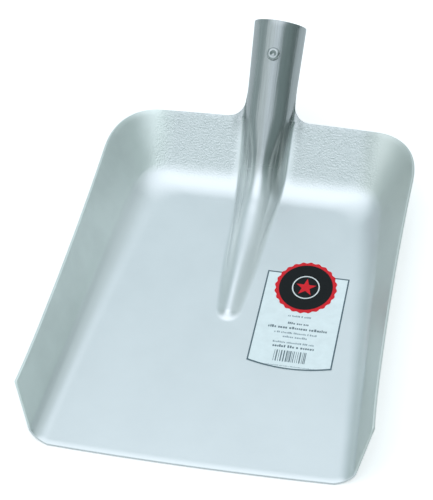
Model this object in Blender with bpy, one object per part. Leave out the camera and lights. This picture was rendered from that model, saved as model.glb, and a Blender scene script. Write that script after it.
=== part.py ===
"""Head of a square-mouth sand shovel: pressed sheet blade, socket sleeve, rivet, label, seal.

All sizes are millimetres in the working frame below and become metres when a mesh is made.
Working frame: x across the blade, y from the mouth edge towards the socket, z up, with z = 0
on the top face of the floor. The finished part is shifted so that its bounding box stands
on z = 0, centred on x and y.
The blade is one sheet. Its middle surface is a pan (floor, side walls, back wall) with a
bump added square to the socket axis: the bump is the rib on the floor and, further back,
the front half of the handle socket.
"""
import math

import bmesh
import bpy
import numpy as np

MM = 0.001
SHEET = 2.0                      # blade sheet
SHIFT_Y = -193.4                 # working frame to part frame
SHIFT_Z = SHEET

# ---- pan -------------------------------------------------------------------------------
MOUTH_BOW = 2.0                  # the mouth edge is bowed forward at its middle
MOUTH_BOW_END = 60.0             # the bow has faded out this far behind the mouth
FRONT_CUT = 18.8                 # the wall tops start this far behind the mouth
FRONT_CUT_END = 80.0
BACK_BEND_Y = 261.0              # floor meets the back bend
BACK_RIM_Y = 317.0
BACK_RIM_Z = 39.5
BACK_RIM_BOW = 2.5               # the back rim curves forward towards the corners
BACK_SLOPE = math.radians(44.5)
SIDE_SLOPE = 74.0                # degrees at the mouth
SIDE_LEAN = 18.0                 # degrees less at the back corners
SIDE_BEND_POWER = 1.2            # the side bends tighten towards the wall
SIDE_CREASE = 0.24               # share of the side wall's slope that a crease makes at once
CORNER_POWER = 2.3               # plan shape of the back rim corners, 2 would be an ellipse
CORNER_Y = 265.0                 # the side rims run straight as far as this
CORNER_X = 86.9                  # and the back rim as far as this
FLOOR_CORNER_R = 20.0            # the floor's own back corners
FLOOR_CORNER_LEAD = math.radians(8.8)    # the floor's sides run this far off straight there
FAN_FROM = 150.0                 # wall sections lean back to meet the corner from here on

# ---- socket ----------------------------------------------------------------------------
SOCKET_MOUTH = np.array([0.0, 377.5, 87.1])
SOCKET_ANGLE = math.radians(40.0)
SOCKET_R = 21.15                 # outside radius at the mouth
SOCKET_TAPER = 0.03
MOUTH_SKEW = 0.05                # the socket mouth is not cut quite square
MOUTH_SKEW_END = 40.0            # the lines across the socket are square again from here
NECK_ARC = 13.0                  # outline radius where the back wall turns into the neck
NECK_HALF = 20.0
CLOSED_FROM = 50.0               # nearer the mouth than this the front half is a true half round
AXIS = np.array([0.0, math.cos(SOCKET_ANGLE), math.sin(SOCKET_ANGLE)])
PRESS = np.array([0.0, -math.sin(SOCKET_ANGLE), math.cos(SOCKET_ANGLE)])
RIM_A = float((SOCKET_MOUTH - [0.0, BACK_RIM_Y, BACK_RIM_Z]) @ AXIS)

# ---- rib: distance from the socket mouth along its axis, then the value -------------------
RIB_HALF = ((105, 18.0), (120, 17.5), (142, 16.4), (157, 14.7), (188, 11.6), (209, 9.8),
            (226, 8.2), (236, 7.3))
RIB_HIGH = ((108, 18.2), (120, 18.9), (130, 19.2), (142, 18.2), (157, 14.9), (172, 12.5),
            (188, 10.8), (209, 8.2), (226, 5.7), (236, 4.3))
RIB_END_Y = 146.5                # centre of the rounded front end of the rib
RIB_END_LONGER = 1.25            # the front end runs out this much longer than it is wide
RIB_FOOT = ((133, 4.6), (200, 4.6), (255, 3.6), (300, 3.2))     # foot fillet, against y
STRIP = ((0, 13), (130, 13), (200, 20), (265, 29), (300, 32), (317, 33))   # see strip_reach
SHOULDER = ((70, 0.0), (78, 0.03), (93, 0.5), (108, 1.0), (128, 1.0), (165, 0.45),
            (195, 0.0))          # against the distance: see rib_section
BELL = ((165, 1.0), (190, 0.8), (225, 0.1), (240, 0.0))     # against y: see rib_section
BELL_WIDER = 1.45                # a bell reaches this much further out than the arch
CREST_NARROWER = 0.26            # share of the width that the crest gives up to the shoulders
SHOULDER_LOWER = 0.30
WEB_RISE = 0.08                  # the web beside the neck leans out of the back wall's plane


def curve(points, x):
    """Smooth curve through a few points, flat outside them."""
    px = np.array([p[0] for p in points], float)
    py = np.array([p[1] for p in points], float)
    slope = np.gradient(py, px)
    x = np.clip(x, px[0], px[-1])
    k = np.clip(np.searchsorted(px, x) - 1, 0, len(px) - 2)
    h = px[k + 1] - px[k]
    t = (x - px[k]) / h
    return ((2 * t ** 3 - 3 * t ** 2 + 1) * py[k] + (t ** 3 - 2 * t ** 2 + t) * h * slope[k]
            + (3 * t ** 2 - 2 * t ** 3) * py[k + 1] + (t ** 3 - t ** 2) * h * slope[k + 1])


FLOOR_CORNER_Y = BACK_BEND_Y - FLOOR_CORNER_R
FLOOR_STRAIGHT_Y = FLOOR_CORNER_Y + FLOOR_CORNER_R * math.sin(FLOOR_CORNER_LEAD)


def floor_half(y):
    """Half width of the floor where its sides run straight."""
    return 102.5 - 0.066 * y - 0.00019 * y * y


FLOOR_CORNER_X = floor_half(FLOOR_STRAIGHT_Y) - FLOOR_CORNER_R * math.cos(FLOOR_CORNER_LEAD)


def floor_edge(y):
    """Half width of the floor with its rounded back corners."""
    if y <= FLOOR_STRAIGHT_Y:
        return floor_half(y)
    return FLOOR_CORNER_X + math.sqrt(max(FLOOR_CORNER_R ** 2 - (y - FLOOR_CORNER_Y) ** 2, 0))


def rim_half(y):
    s = min(y, CORNER_Y) / 100
    return 125.0 - 5.06 * s + 1.19 * s ** 2 + 0.055 * s ** 3


def rim_height(y):
    s = min(y, CORNER_Y) / 100
    return 41.2 + 0.98 * s - 0.47 * s ** 2


def wall_lengths(reach, height, angle, power, crease):
    """Lengths of the bend and of the straight part of a wall section, and the bend's run.

    The slope grows along the bend as the `power` of the way along it, so 1 is a plain arc,
    and the bend stops short of the wall's slope by the share `crease`.
    """
    way = np.linspace(0, 1, 65)
    slope = angle * (1 - crease) * way ** power
    step = np.diff(way)
    out = np.concatenate([[0], np.cumsum(step * (np.cos(slope[1:]) + np.cos(slope[:-1])) / 2)])
    up = np.concatenate([[0], np.cumsum(step * (np.sin(slope[1:]) + np.sin(slope[:-1])) / 2)])
    sine, cosine = math.sin(angle), math.cos(angle)
    bend = (reach * sine - height * cosine) / (out[-1] * sine - up[-1] * cosine)
    straight = (height - bend * up[-1]) / sine
    return bend, straight, way, out * bend, up * bend


def wall_point(share, section, arcs):
    """Point of a wall section: share runs 0..1 over the rings, the bend takes `arcs` of it."""
    _, straight, way, out, up = wall_lengths(*section)
    angle = section[2]
    if share <= arcs:
        at = share / arcs
        return float(np.interp(at, way, out)), float(np.interp(at, way, up))
    along = straight * (share - arcs) / (1 - arcs)
    return out[-1] + along * math.cos(angle), up[-1] + along * math.sin(angle)


def side_slope(y):
    return math.radians(SIDE_SLOPE - SIDE_LEAN * (min(y, CORNER_Y) / CORNER_Y) ** 2)


def rim_place(y):
    """y at the rim of the wall section that starts from y on the floor's edge."""
    way = max(0.0, (y - FAN_FROM) / (FLOOR_STRAIGHT_Y - FAN_FROM))
    return y + (CORNER_Y - FLOOR_STRAIGHT_Y) * way ** 2


def side_section(y):
    """Reach outwards, height, slope, power and crease of the wall section starting from y."""
    at_rim = rim_place(y)
    reach = rim_half(at_rim) - floor_half(y)
    return reach, rim_height(at_rim), side_slope(at_rim), SIDE_BEND_POWER, SIDE_CREASE


def side_wall(y, share, arcs):
    """Offset outwards from the floor edge, and height, on a side wall."""
    return wall_point(share, side_section(y), arcs)


def back_wall(share, arcs):
    return wall_point(share, (BACK_RIM_Y - BACK_BEND_Y, BACK_RIM_Z, BACK_SLOPE, 1, 0), arcs)


def share_length(y, share, arcs):
    """How far along a side wall's section a ring lies, 0 at the floor and 1 at the rim."""
    bend, straight = wall_lengths(*side_section(y))[:2]
    if share <= arcs:
        return bend * share / arcs / (bend + straight)
    return (bend + straight * (share - arcs) / (1 - arcs)) / (bend + straight)


def rib_section(high, half, foot, shoulder, bell=0.0):
    """Half of the bump's cross section as a fine polyline, centre first: x, height.

    A shoulder of 1 lays the full narrow crest on the full wide shoulder, with a crease
    where they meet, and a shoulder of 0 is one plain arch. A bell of 1 is a soft wave.
    """
    reach = math.sqrt(half * half + 2 * half * foot)
    turn = math.asin(reach / (half + foot))
    phi = np.linspace(0, turn, 160)
    arc = np.stack([half * np.sin(phi), half * np.cos(phi)], 1)
    psi = np.linspace(turn, 0, 40)[1:]
    fillet = np.stack([reach - foot * np.sin(psi), foot - foot * np.cos(psi)], 1)
    line = np.concatenate([arc, fillet])
    crest_half = half * (1 - CREST_NARROWER * shoulder)
    crest = half * np.sqrt(np.clip(1 - (line[:, 0] / crest_half) ** 2, 0, None))
    line[:, 1] = np.maximum(line[:, 1] * (1 - SHOULDER_LOWER * shoulder), crest)
    line[:, 1] *= high / half
    if bell == 0:
        return line
    x = np.linspace(0, half * BELL_WIDER, 160)
    wave = high * (1 + np.cos(math.pi * x / x[-1])) / 2
    arch = np.interp(x, line[:, 0], line[:, 1], right=0.0)
    return np.stack([x, wave * bell + arch * (1 - bell)], 1)


def spread(line, end_x, count):
    """`count`+1 points evenly spaced along a section from its centre to x = end_x."""
    if end_x > line[-1, 0]:
        line = np.concatenate([line, [[end_x, line[-1, 1]]]])
    else:
        z = np.interp(end_x, line[:, 0], line[:, 1])
        line = np.concatenate([line[line[:, 0] < end_x], [[end_x, z]]])
    run = np.concatenate([[0], np.cumsum(np.hypot(*np.diff(line, axis=0).T))])
    at = np.linspace(0, run[-1], count + 1)
    return np.stack([np.interp(at, run, line[:, 0]), np.interp(at, run, line[:, 1])], 1)


def axis_place(y, z):
    """Distance of a centre-line point from the socket mouth along the axis."""
    return float((SOCKET_MOUTH - [0.0, y, z]) @ AXIS)


def axis_height(y, z):
    return float((np.array([0.0, y, z]) - SOCKET_MOUTH) @ PRESS)


def socket_radius(a):
    return SOCKET_R - SOCKET_TAPER * a


def bump_size(y, z):
    """Height and half width of the bump over the pan point (0, y, z)."""
    a = axis_place(y, z)
    half = socket_radius(a) if a < 105 else float(curve(RIB_HALF, a))
    high = half - axis_height(y, z) if a < 108 else float(curve(RIB_HIGH, a))
    return high, half


def strip_reach(y):
    """Half width of the finely divided strip along the rib."""
    return float(curve(STRIP, y))


def centre_columns(y, z, count):
    """x and bump height of the columns over the rib, from the middle outwards."""
    high, half = bump_size(y, z)
    shoulder = float(curve(SHOULDER, axis_place(y, z)))
    bell = float(curve(BELL, y))
    line = rib_section(high, half, float(curve(RIB_FOOT, y)), shoulder, bell)
    if y >= RIB_END_Y:
        return spread(line, strip_reach(y), count)
    gap = (RIB_END_Y - y) / RIB_END_LONGER
    x = np.linspace(0, strip_reach(y), count + 1)
    return np.stack([x, np.interp(np.hypot(x, gap), line[:, 0], line[:, 1])], 1)


def bowed(x, y, edge):
    """Forward bow of the mouth edge, faded out along the floor."""
    return -MOUTH_BOW * (1 - (x / edge) ** 2) * max(0.0, 1 - y / MOUTH_BOW_END) ** 2


def middle_row(y, z, edge, share, strip, flat):
    """One line across the floor or the back wall, from edge to edge over the rib."""
    columns = centre_columns(y, z, strip)
    outer = [columns[-1, 0] + (edge - columns[-1, 0]) * k / flat for k in range(1, flat + 1)]
    half_row = [(x, h) for x, h in columns] + [(x, 0.0) for x in outer]
    row = []
    for x, h in [(-x, h) for x, h in half_row[:0:-1]] + half_row:
        bend = -BACK_RIM_BOW * (x / 100) ** 2 * share
        row.append(np.array([x, y + bowed(x, y, edge) + bend, z]) + PRESS * h)
    return row


def side_row(side, y, shares, arcs):
    """One section of a side wall, from the floor up to the rim."""
    cut = FRONT_CUT * max(0.0, 1 - y / FRONT_CUT_END) ** 2
    reach = side_section(y)[0]
    row = []
    for share in shares:
        dx, z = side_wall(y, share, arcs)
        lean = (rim_place(y) - y) * dx / reach
        back = cut * share_length(y, share, arcs) + lean
        row.append(np.array([side * (floor_half(y) + dx), y + back, z]))
    return row


def corner_row(side, way, shares, arcs):
    """One section of a back corner; way is 0 at the side wall and 1 at the back wall."""
    on_floor = FLOOR_CORNER_LEAD + (math.pi / 2 - FLOOR_CORNER_LEAD) * way
    floor_x = FLOOR_CORNER_X + FLOOR_CORNER_R * math.cos(on_floor)
    floor_y = FLOOR_CORNER_Y + FLOOR_CORNER_R * math.sin(on_floor)
    on_rim = math.pi / 2 * way
    rim_x = CORNER_X + (rim_half(CORNER_Y) - CORNER_X) * math.cos(on_rim) ** (2 / CORNER_POWER)
    rim_y = CORNER_Y + (BACK_RIM_Y - CORNER_Y) * math.sin(on_rim) ** (2 / CORNER_POWER)
    blend = math.sin(on_rim) ** 2
    side_reach = side_section(FLOOR_STRAIGHT_Y)[0]
    row = []
    for share in shares:
        side_out, side_z = side_wall(FLOOR_STRAIGHT_Y, share, arcs)
        back_out, back_z = back_wall(share, arcs)
        out = (side_out / side_reach * (1 - blend)
               + back_out / (BACK_RIM_Y - BACK_BEND_Y) * blend)
        x = floor_x + (rim_x - floor_x) * out
        y = floor_y + (rim_y - floor_y) * out - BACK_RIM_BOW * (x / 100) ** 2 * share * blend
        row.append(np.array([side * x, y, side_z * (1 - blend) + back_z * blend]))
    return row


def neck_row(a, strip):
    """One line across the neck or the socket's front half, `a` from the socket mouth."""
    into = min(1.0, max(0.0, (a - CLOSED_FROM) / (RIM_A - CLOSED_FROM)))
    half = socket_radius(a)
    if a <= CLOSED_FROM:
        pan = 0.0
        phi = np.linspace(0, math.pi / 2, strip + 1)
        columns = np.stack([half * np.sin(phi), half * np.cos(phi)], 1)
    else:
        pan = into * (axis_height(BACK_RIM_Y, BACK_RIM_Z) + (RIM_A - a) * WEB_RISE)
        foot = max(RIB_FOOT[-1][1] * into, 0.01)
        section = rib_section(half - pan, half, foot, float(curve(SHOULDER, a)))
        columns = spread(section, neck_outline(a, half), strip)
    row = []
    for x, h in [(-x, h) for x, h in columns[:0:-1]] + [tuple(c) for c in columns]:
        skew = MOUTH_SKEW * x * max(0.0, 1 - a / MOUTH_SKEW_END)
        row.append(SOCKET_MOUTH - AXIS * (a + skew) + PRESS * (pan + h) + np.array([x, 0, 0]))
    return row


def neck_outline(a, half):
    """Half width of the sheet between the back rim and the closed socket."""
    above = RIM_A - a
    if above < NECK_ARC - 0.01:
        return NECK_HALF + NECK_ARC - math.sqrt(NECK_ARC ** 2 - (NECK_ARC - above) ** 2)
    way = (above - NECK_ARC) / (RIM_A - NECK_ARC - CLOSED_FROM)
    return max(half, NECK_HALF + (half - NECK_HALF) * min(1.0, way))


def blade_surface(stations, rings, arcs, strip, flat, fan, neck, tube):
    """Top face of the sheet as lists of vertices and faces.

    stations: y of the lines across the floor, the last at FLOOR_STRAIGHT_Y; rings: steps up
    the walls, `arcs` of them on the bend; strip and flat: columns over the rib and beside
    it; fan: lines round a corner; neck and tube: lines across the neck and the socket.
    """
    shares = [r / rings for r in range(rings + 1)]
    bend = arcs / rings
    verts, faces = [], []

    def grid(rows):
        base = len(verts)
        width = len(rows[0])
        for row in rows:
            verts.extend(row)
        for i in range(len(rows) - 1):
            for j in range(width - 1):
                k = base + i * width + j
                faces.append((k, k + 1, k + width + 1, k + width))

    corner = [FLOOR_CORNER_LEAD + (math.pi / 2 - FLOOR_CORNER_LEAD) * k / fan
              for k in range(1, fan + 1)]
    floor_lines = list(stations) + [FLOOR_CORNER_Y + FLOOR_CORNER_R * math.sin(turn)
                                    for turn in corner]
    middle = [middle_row(y, 0.0, floor_edge(y), 0.0, strip, flat) for y in floor_lines]
    for share in shares[1:]:
        out, z = back_wall(share, bend)
        way = out / (BACK_RIM_Y - BACK_BEND_Y)
        edge = FLOOR_CORNER_X + (CORNER_X - FLOOR_CORNER_X) * way
        middle.append(middle_row(BACK_BEND_Y + out, z, edge, share, strip, flat))
    grid(middle)
    for side in (-1, 1):
        grid([side_row(side, y, shares, bend) for y in stations])
        grid([corner_row(side, k / fan, shares, bend) for k in range(fan + 1)])
    places = [RIM_A - NECK_ARC * math.sin(math.pi / 2 * (k / neck)) for k in range(1, neck + 1)]
    places += [places[-1] * (1 - k / tube) for k in range(1, tube + 1)]
    rim_row = [p for p in middle[-1] if abs(p[0]) < strip_reach(BACK_RIM_Y) + 0.01]
    grid([rim_row] + [neck_row(a, strip) for a in places])
    return verts, faces


def finish(bm, name, material):
    bmesh.ops.remove_doubles(bm, verts=bm.verts, dist=0.00002)
    bmesh.ops.dissolve_degenerate(bm, edges=bm.edges, dist=0.00001)
    mesh = bpy.data.meshes.new(name)
    bm.to_mesh(mesh)
    bm.free()
    mesh.materials.append(material)
    obj = bpy.data.objects.new(name, mesh)
    bpy.context.scene.collection.objects.link(obj)
    for poly in mesh.polygons:
        poly.use_smooth = True
    return obj


def place(p):
    """Working frame, millimetres, to part frame, metres."""
    return (p[0] * MM, (p[1] + SHIFT_Y) * MM, (p[2] + SHIFT_Z) * MM)


def slot(name, colour, metallic, roughness):
    material = bpy.data.materials.new(name)
    material.use_nodes = True
    shader = material.node_tree.nodes["Principled BSDF"]
    shader.inputs["Base Color"].default_value = (*colour, 1)
    shader.inputs["Metallic"].default_value = metallic
    shader.inputs["Roughness"].default_value = roughness
    return material


def make_blade(material):
    stations = [0, 30, 70, 110, 130, 133, 138, RIB_END_Y, 152, 166, 182, 198, 213, 228,
                FLOOR_STRAIGHT_Y]
    verts, faces = blade_surface(stations, rings=7, arcs=5, strip=12, flat=2, fan=6,
                                 neck=6, tube=3)
    bm = bmesh.new()
    made = [bm.verts.new(place(v)) for v in verts]
    for face in faces:
        bm.faces.new([made[k] for k in face])
    bmesh.ops.remove_doubles(bm, verts=bm.verts, dist=0.00002)
    bmesh.ops.dissolve_degenerate(bm, edges=bm.edges, dist=0.00001)
    bmesh.ops.recalc_face_normals(bm, faces=bm.faces)
    bm.faces.ensure_lookup_table()
    if sum(f.normal.z * f.calc_area() for f in bm.faces) < 0:
        bmesh.ops.reverse_faces(bm, faces=bm.faces)
    bm.normal_update()
    top = list(bm.faces)
    edge = [e for e in bm.edges if e.is_boundary]
    under = {v: bm.verts.new(v.co - v.normal * SHEET * MM) for v in list(bm.verts)}
    for face in top:
        bm.faces.new([under[v] for v in reversed(face.verts)])
    for e in edge:
        loop = e.link_loops[0]
        a, b = loop.vert, loop.link_loop_next.vert
        bm.faces.new([b, a, under[a], under[b]])
    return finish(bm, "blade", material)


def make_sleeve(material):
    """Rolled sheet tube closed except for a narrow seam at the back."""
    wall, clear, seam, segments = 1.5, 0.5, 1.0, 28
    ends = (0.8, 76.0)
    bm = bmesh.new()
    rings = []
    for a in ends:
        for radius in (socket_radius(a) - SHEET - clear, socket_radius(a) - SHEET - clear - wall):
            half_gap = seam / 2 / radius
            ring = []
            for k in range(segments + 1):
                phi = -math.pi + half_gap + (2 * math.pi - 2 * half_gap) * k / segments
                p = (SOCKET_MOUTH - AXIS * a + PRESS * radius * math.cos(phi)
                     + np.array([radius * math.sin(phi), 0, 0]))
                ring.append(bm.verts.new(place(p)))
            rings.append(ring)
    outer0, inner0, outer1, inner1 = rings
    for one, two in ((outer0, outer1), (outer1, inner1), (inner1, inner0), (inner0, outer0)):
        for k in range(segments):
            bm.faces.new([one[k], one[k + 1], two[k + 1], two[k]])
    for k in (0, segments):
        bm.faces.new([outer0[k], outer1[k], inner1[k], inner0[k]])
    bmesh.ops.recalc_face_normals(bm, faces=bm.faces)
    return finish(bm, "socket_sleeve", material)


RIVET_A = 26.9                   # rivet centre, from the socket mouth
RIVET_HOLE = 2.7


def turned(profile, segments, centre, name, material):
    """Solid of revolution about the press direction; profile is radius, height pairs."""
    bm = bmesh.new()
    side = np.array([1.0, 0.0, 0.0])
    rows = []
    for radius, height in profile:
        if radius == 0:
            rows.append([bm.verts.new(place(centre + PRESS * height))])
            continue
        rows.append([bm.verts.new(place(centre + PRESS * height + radius * (
            side * math.cos(2 * math.pi * k / segments)
            + AXIS * math.sin(2 * math.pi * k / segments)))) for k in range(segments)])
    for low, high in zip(rows, rows[1:]):
        for k in range(segments):
            n = (k + 1) % segments
            if len(low) == 1:
                bm.faces.new([low[0], high[k], high[n]])
            elif len(high) == 1:
                bm.faces.new([low[k], low[n], high[0]])
            else:
                bm.faces.new([low[k], low[n], high[n], high[k]])
    bmesh.ops.recalc_face_normals(bm, faces=bm.faces)
    return finish(bm, name, material)


def rivet_centre():
    return SOCKET_MOUTH - AXIS * RIVET_A + PRESS * socket_radius(RIVET_A)


def make_rivet(material):
    tail = -(SHEET + 0.5 + 1.5 + 0.9)      # clear of the curved inside of the sleeve
    profile = [(0, tail - 1.3), (3.0, tail - 1.2), (4.0, tail - 0.7), (4.0, tail),
               (2.4, tail), (2.4, 0.3), (5.1, 0.3), (5.2, 0.9), (4.7, 1.7), (3.8, 2.3),
               (2.6, 2.6), (1.9, 2.2), (1.2, 1.6), (0, 1.4)]
    return turned(profile, 20, rivet_centre(), "socket_rivet", material)


def drill(obj):
    """Cut the rivet hole."""
    cutter = turned([(0, -8), (RIVET_HOLE, -8), (RIVET_HOLE, 4), (0, 4)], 20, rivet_centre(),
                    "hole", obj.data.materials[0])
    cutter.hide_render = True
    cutter.display_type = "WIRE"
    cut = obj.modifiers.new("rivet hole", "BOOLEAN")
    cut.operation, cut.solver, cut.object = "DIFFERENCE", "EXACT", cutter
    with bpy.context.temp_override(object=obj, active_object=obj, selected_objects=[obj]):
        bpy.ops.object.modifier_apply(modifier=cut.name)
    bpy.data.objects.remove(cutter)


def plate(outline, low, high, name, material):
    """Flat sheet between two heights above the floor."""
    bm = bmesh.new()
    bottom = [bm.verts.new(place((x, y, low))) for x, y in outline]
    top = [bm.verts.new(place((x, y, high))) for x, y in outline]
    count = len(outline)
    bm.faces.new(top)
    bm.faces.new(bottom[::-1])
    for k in range(count):
        n = (k + 1) % count
        bm.faces.new([bottom[k], bottom[n], top[n], top[k]])
    bmesh.ops.recalc_face_normals(bm, faces=bm.faces)
    return finish(bm, name, material)


LABEL_X, LABEL_Y, LABEL_W, LABEL_H, LABEL_BOW = 53.5, 145.0, 63.0, 91.0, 4.5
SEAL_X, SEAL_Y, SEAL_RX, SEAL_RY, SEAL_TEETH = 53.4, 177.0, 23.2, 25.8, 24


def label_outline():
    left, right = LABEL_X - LABEL_W / 2, LABEL_X + LABEL_W / 2
    top, low = LABEL_Y + LABEL_H / 2, LABEL_Y - LABEL_H / 2
    line = []
    for k in range(13):
        t = k / 12
        line.append((left + (right - left) * t, low - LABEL_BOW * (1 - (2 * t - 1) ** 2)))
    return line + [(right, top), (left, top)]


def seal_outline():
    line = []
    steps = SEAL_TEETH * 4
    for k in range(steps):
        turn = 2 * math.pi * k / steps
        swell = 1 + 0.025 * math.cos(turn * SEAL_TEETH)
        line.append((SEAL_X + SEAL_RX * swell * math.cos(turn),
                     SEAL_Y + SEAL_RY * swell * math.sin(turn)))
    return line


def build():
    for obj in list(bpy.data.objects):
        bpy.data.objects.remove(obj)
    sheet = slot("bare_aluminium", (0.80, 0.83, 0.84), 1.0, 0.35)
    sleeve = slot("sleeve_aluminium", (0.72, 0.75, 0.76), 1.0, 0.45)
    rivet = slot("rivet_aluminium", (0.78, 0.80, 0.80), 1.0, 0.30)
    film = slot("label_film", (0.86, 0.90, 0.92), 0.0, 0.35)
    paper = slot("seal_paper", (0.75, 0.05, 0.06), 0.0, 0.40)
    blade = make_blade(sheet)
    tube = make_sleeve(sleeve)
    drill(blade)
    drill(tube)
    make_rivet(rivet)
    plate(label_outline(), 0.3, 0.5, "label", film)
    plate(seal_outline(), 0.8, 1.0, "seal_sticker", paper)


build()
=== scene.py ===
"""Looks of the sand shovel head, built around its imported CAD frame.

Sizes are millimetres in the working frame of the part's source: y from the mouth edge towards
the socket, z up from the top face of the floor. `place` turns them into the frame's metres.
"""
import math
import random

import bmesh
import bpy
import numpy as np
from mathutils import Matrix, Vector


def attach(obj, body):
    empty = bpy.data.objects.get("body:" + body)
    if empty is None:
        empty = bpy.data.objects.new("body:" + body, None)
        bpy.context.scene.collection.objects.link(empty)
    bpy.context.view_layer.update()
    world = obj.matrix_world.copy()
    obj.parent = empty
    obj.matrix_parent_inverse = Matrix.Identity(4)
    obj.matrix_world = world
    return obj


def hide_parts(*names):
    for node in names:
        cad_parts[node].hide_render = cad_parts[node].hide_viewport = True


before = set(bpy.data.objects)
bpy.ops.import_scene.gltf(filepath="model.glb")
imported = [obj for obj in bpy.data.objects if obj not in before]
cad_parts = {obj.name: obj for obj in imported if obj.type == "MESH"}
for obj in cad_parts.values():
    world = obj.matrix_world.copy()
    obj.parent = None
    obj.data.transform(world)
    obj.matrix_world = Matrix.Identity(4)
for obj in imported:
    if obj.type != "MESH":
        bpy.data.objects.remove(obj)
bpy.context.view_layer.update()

MM = 0.001
SHEET = 2.0                      # blade sheet
SHIFT_Y = -193.4                 # working frame to part frame
SHIFT_Z = SHEET

# ---- pan -------------------------------------------------------------------------------
MOUTH_BOW = 2.0                  # the mouth edge is bowed forward at its middle
MOUTH_BOW_END = 60.0             # the bow has faded out this far behind the mouth
FRONT_CUT = 18.8                 # the wall tops start this far behind the mouth
FRONT_CUT_END = 80.0
BACK_BEND_Y = 261.0              # floor meets the back bend
BACK_RIM_Y = 317.0
BACK_RIM_Z = 39.5
BACK_RIM_BOW = 2.5               # the back rim curves forward towards the corners
BACK_SLOPE = math.radians(44.5)
SIDE_SLOPE = 74.0                # degrees at the mouth
SIDE_LEAN = 18.0                 # degrees less at the back corners
SIDE_BEND_POWER = 1.2            # the side bends tighten towards the wall
SIDE_CREASE = 0.24               # share of the side wall's slope that a crease makes at once
CORNER_POWER = 2.3               # plan shape of the back rim corners, 2 would be an ellipse
CORNER_Y = 265.0                 # the side rims run straight as far as this
CORNER_X = 86.9                  # and the back rim as far as this
FLOOR_CORNER_R = 20.0            # the floor's own back corners
FLOOR_CORNER_LEAD = math.radians(8.8)    # the floor's sides run this far off straight there
FAN_FROM = 150.0                 # wall sections lean back to meet the corner from here on

# ---- socket ----------------------------------------------------------------------------
SOCKET_MOUTH = np.array([0.0, 377.5, 87.1])
SOCKET_ANGLE = math.radians(40.0)
SOCKET_R = 21.15                 # outside radius at the mouth
SOCKET_TAPER = 0.03
MOUTH_SKEW = 0.05                # the socket mouth is not cut quite square
MOUTH_SKEW_END = 40.0            # the lines across the socket are square again from here
NECK_ARC = 13.0                  # outline radius where the back wall turns into the neck
NECK_HALF = 20.0
CLOSED_FROM = 50.0               # nearer the mouth than this the front half is a true half round
AXIS = np.array([0.0, math.cos(SOCKET_ANGLE), math.sin(SOCKET_ANGLE)])
PRESS = np.array([0.0, -math.sin(SOCKET_ANGLE), math.cos(SOCKET_ANGLE)])
RIM_A = float((SOCKET_MOUTH - [0.0, BACK_RIM_Y, BACK_RIM_Z]) @ AXIS)

# ---- rib: distance from the socket mouth along its axis, then the value -------------------
RIB_HALF = ((105, 18.0), (120, 17.5), (142, 16.4), (157, 14.7), (188, 11.6), (209, 9.8),
            (226, 8.2), (236, 7.3))
RIB_HIGH = ((108, 18.2), (120, 18.9), (130, 19.2), (142, 18.2), (157, 14.9), (172, 12.5),
            (188, 10.8), (209, 8.2), (226, 5.7), (236, 4.3))
RIB_END_Y = 146.5                # centre of the rounded front end of the rib
RIB_END_LONGER = 1.25            # the front end runs out this much longer than it is wide
RIB_FOOT = ((133, 4.6), (200, 4.6), (255, 3.6), (300, 3.2))     # foot fillet, against y
STRIP = ((0, 13), (130, 13), (200, 20), (265, 29), (300, 32), (317, 33))   # see strip_reach
SHOULDER = ((70, 0.0), (78, 0.03), (93, 0.5), (108, 1.0), (128, 1.0), (165, 0.45),
            (195, 0.0))          # against the distance: see rib_section
BELL = ((165, 1.0), (190, 0.8), (225, 0.1), (240, 0.0))     # against y: see rib_section
BELL_WIDER = 1.45                # a bell reaches this much further out than the arch
CREST_NARROWER = 0.26            # share of the width that the crest gives up to the shoulders
SHOULDER_LOWER = 0.30
WEB_RISE = 0.08                  # the web beside the neck leans out of the back wall's plane


def curve(points, x):
    """Smooth curve through a few points, flat outside them."""
    px = np.array([p[0] for p in points], float)
    py = np.array([p[1] for p in points], float)
    slope = np.gradient(py, px)
    x = np.clip(x, px[0], px[-1])
    k = np.clip(np.searchsorted(px, x) - 1, 0, len(px) - 2)
    h = px[k + 1] - px[k]
    t = (x - px[k]) / h
    return ((2 * t ** 3 - 3 * t ** 2 + 1) * py[k] + (t ** 3 - 2 * t ** 2 + t) * h * slope[k]
            + (3 * t ** 2 - 2 * t ** 3) * py[k + 1] + (t ** 3 - t ** 2) * h * slope[k + 1])


FLOOR_CORNER_Y = BACK_BEND_Y - FLOOR_CORNER_R
FLOOR_STRAIGHT_Y = FLOOR_CORNER_Y + FLOOR_CORNER_R * math.sin(FLOOR_CORNER_LEAD)


def floor_half(y):
    """Half width of the floor where its sides run straight."""
    return 102.5 - 0.066 * y - 0.00019 * y * y


FLOOR_CORNER_X = floor_half(FLOOR_STRAIGHT_Y) - FLOOR_CORNER_R * math.cos(FLOOR_CORNER_LEAD)


def floor_edge(y):
    """Half width of the floor with its rounded back corners."""
    if y <= FLOOR_STRAIGHT_Y:
        return floor_half(y)
    return FLOOR_CORNER_X + math.sqrt(max(FLOOR_CORNER_R ** 2 - (y - FLOOR_CORNER_Y) ** 2, 0))


def rim_half(y):
    """Half width between the wall tops."""
    s = min(y, CORNER_Y) / 100
    return 125.0 - 5.06 * s + 1.19 * s ** 2 + 0.055 * s ** 3


def rim_height(y):
    s = min(y, CORNER_Y) / 100
    return 41.2 + 0.98 * s - 0.47 * s ** 2


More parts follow.
